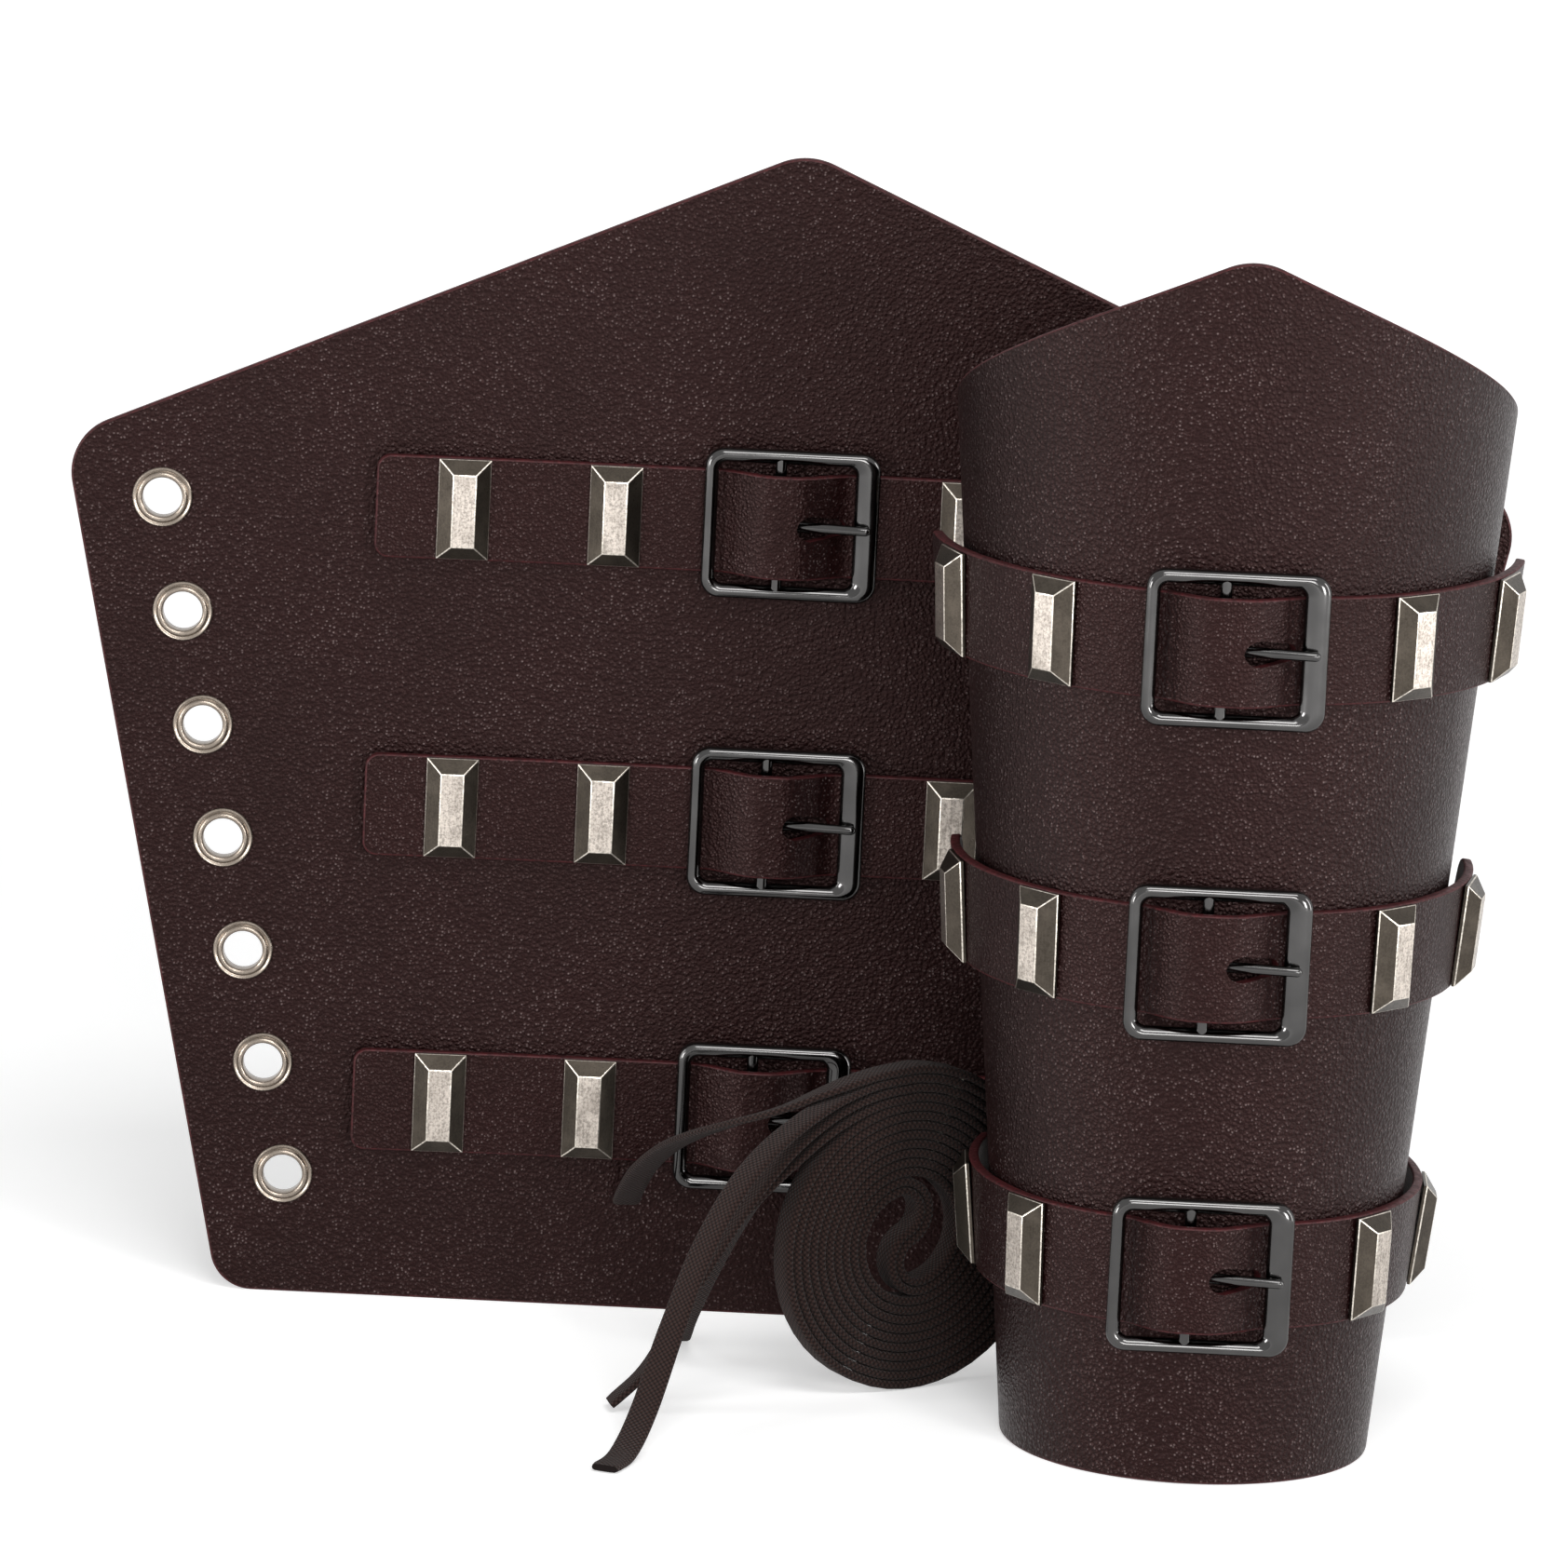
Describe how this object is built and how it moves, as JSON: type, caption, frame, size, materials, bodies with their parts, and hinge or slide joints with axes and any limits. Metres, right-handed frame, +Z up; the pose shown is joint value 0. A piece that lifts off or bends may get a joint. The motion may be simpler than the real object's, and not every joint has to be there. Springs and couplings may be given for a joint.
{
  "type": "pair of arm guards",
  "caption": "Pair of leather forearm guards with studded straps, centre-bar buckles and eyelet rows, one open and one rolled, with their rolled-up laces.",
  "frame": {"origin": "on the floor, under the middle of the pair's box", "axes": "+Z up along the arm from wrist to elbow, -Y towards the viewer, +X along the open guard's width"},
  "size_m": [0.3042, 0.1359, 0.2501],
  "materials": {
    "guard_leather": "pebbled, glossy",
    "strap_leather": "pebbled, glossy",
    "eyelet_metal": "dark nickel",
    "buckle_metal": "gunmetal",
    "stud_metal": "antique nickel",
    "lace_cord": "flat woven, waxed"
  },
  "bodies": {
    "guards": {"open_body": "guard_leather", "open_eyelets_left": "eyelet_metal", "open_washers_left": "eyelet_metal", "open_eyelets_right": "eyelet_metal", "open_washers_right": "eyelet_metal", "open_strap_bottom": "strap_leather", "open_strap_middle": "strap_leather", "open_strap_top": "strap_leather", "open_studs_bottom": "stud_metal", "open_studs_middle": "stud_metal", "open_studs_top": "stud_metal", "open_buckle_bottom": "buckle_metal", "open_buckle_middle": "buckle_metal", "open_buckle_top": "buckle_metal", "rolled_body": "guard_leather", "rolled_eyelets_left": "eyelet_metal", "rolled_washers_left": "eyelet_metal", "rolled_eyelets_right": "eyelet_metal", "rolled_washers_right": "eyelet_metal", "rolled_strap_bottom": "strap_leather", "rolled_strap_middle": "strap_leather", "rolled_strap_top": "strap_leather", "rolled_studs_bottom": "stud_metal", "rolled_studs_middle": "stud_metal", "rolled_studs_top": "stud_metal", "rolled_buckle_bottom": "buckle_metal", "rolled_buckle_middle": "buckle_metal", "rolled_buckle_top": "buckle_metal", "lace_a_coil": "lace_cord", "lace_a_tails": "lace_cord", "lace_b_coil": "lace_cord", "lace_b_tails": "lace_cord"},
    "open_prong_bottom": {"open_prong_bottom": "buckle_metal"},
    "open_prong_middle": {"open_prong_middle": "buckle_metal"},
    "open_prong_top": {"open_prong_top": "buckle_metal"},
    "rolled_prong_bottom": {"rolled_prong_bottom": "buckle_metal"},
    "rolled_prong_middle": {"rolled_prong_middle": "buckle_metal"},
    "rolled_prong_top": {"rolled_prong_top": "buckle_metal"}
  },
  "joints": [
    {"name": "lift_open_prong_bottom", "type": "hinge", "parent": "guards", "child": "open_prong_bottom", "pos_m": [-0.0025, 0.05788, 0.044], "axis": [0, 0, -1], "range_deg": [0, 10]},
    {"name": "lift_open_prong_middle", "type": "hinge", "parent": "guards", "child": "open_prong_middle", "pos_m": [-0.0025, 0.05788, 0.1083], "axis": [0, 0, -1], "range_deg": [0, 10]},
    {"name": "lift_open_prong_top", "type": "hinge", "parent": "guards", "child": "open_prong_top", "pos_m": [-0.0025, 0.05788, 0.1726], "axis": [0, 0, -1], "range_deg": [0, 10]},
    {"name": "lift_rolled_prong_bottom", "type": "hinge", "parent": "guards", "child": "rolled_prong_bottom", "pos_m": [0.0875, -0.05987, 0.0442], "axis": [0, -0.0146, -0.9999], "range_deg": [0, 10]},
    {"name": "lift_rolled_prong_middle", "type": "hinge", "parent": "guards", "child": "rolled_prong_middle", "pos_m": [0.0875, -0.05893, 0.1085], "axis": [0, -0.0146, -0.9999], "range_deg": [0, 10]},
    {"name": "lift_rolled_prong_top", "type": "hinge", "parent": "guards", "child": "rolled_prong_top", "pos_m": [0.0875, -0.05799, 0.17279], "axis": [0, -0.0146, -0.9999], "range_deg": [0, 10]}
  ]
}
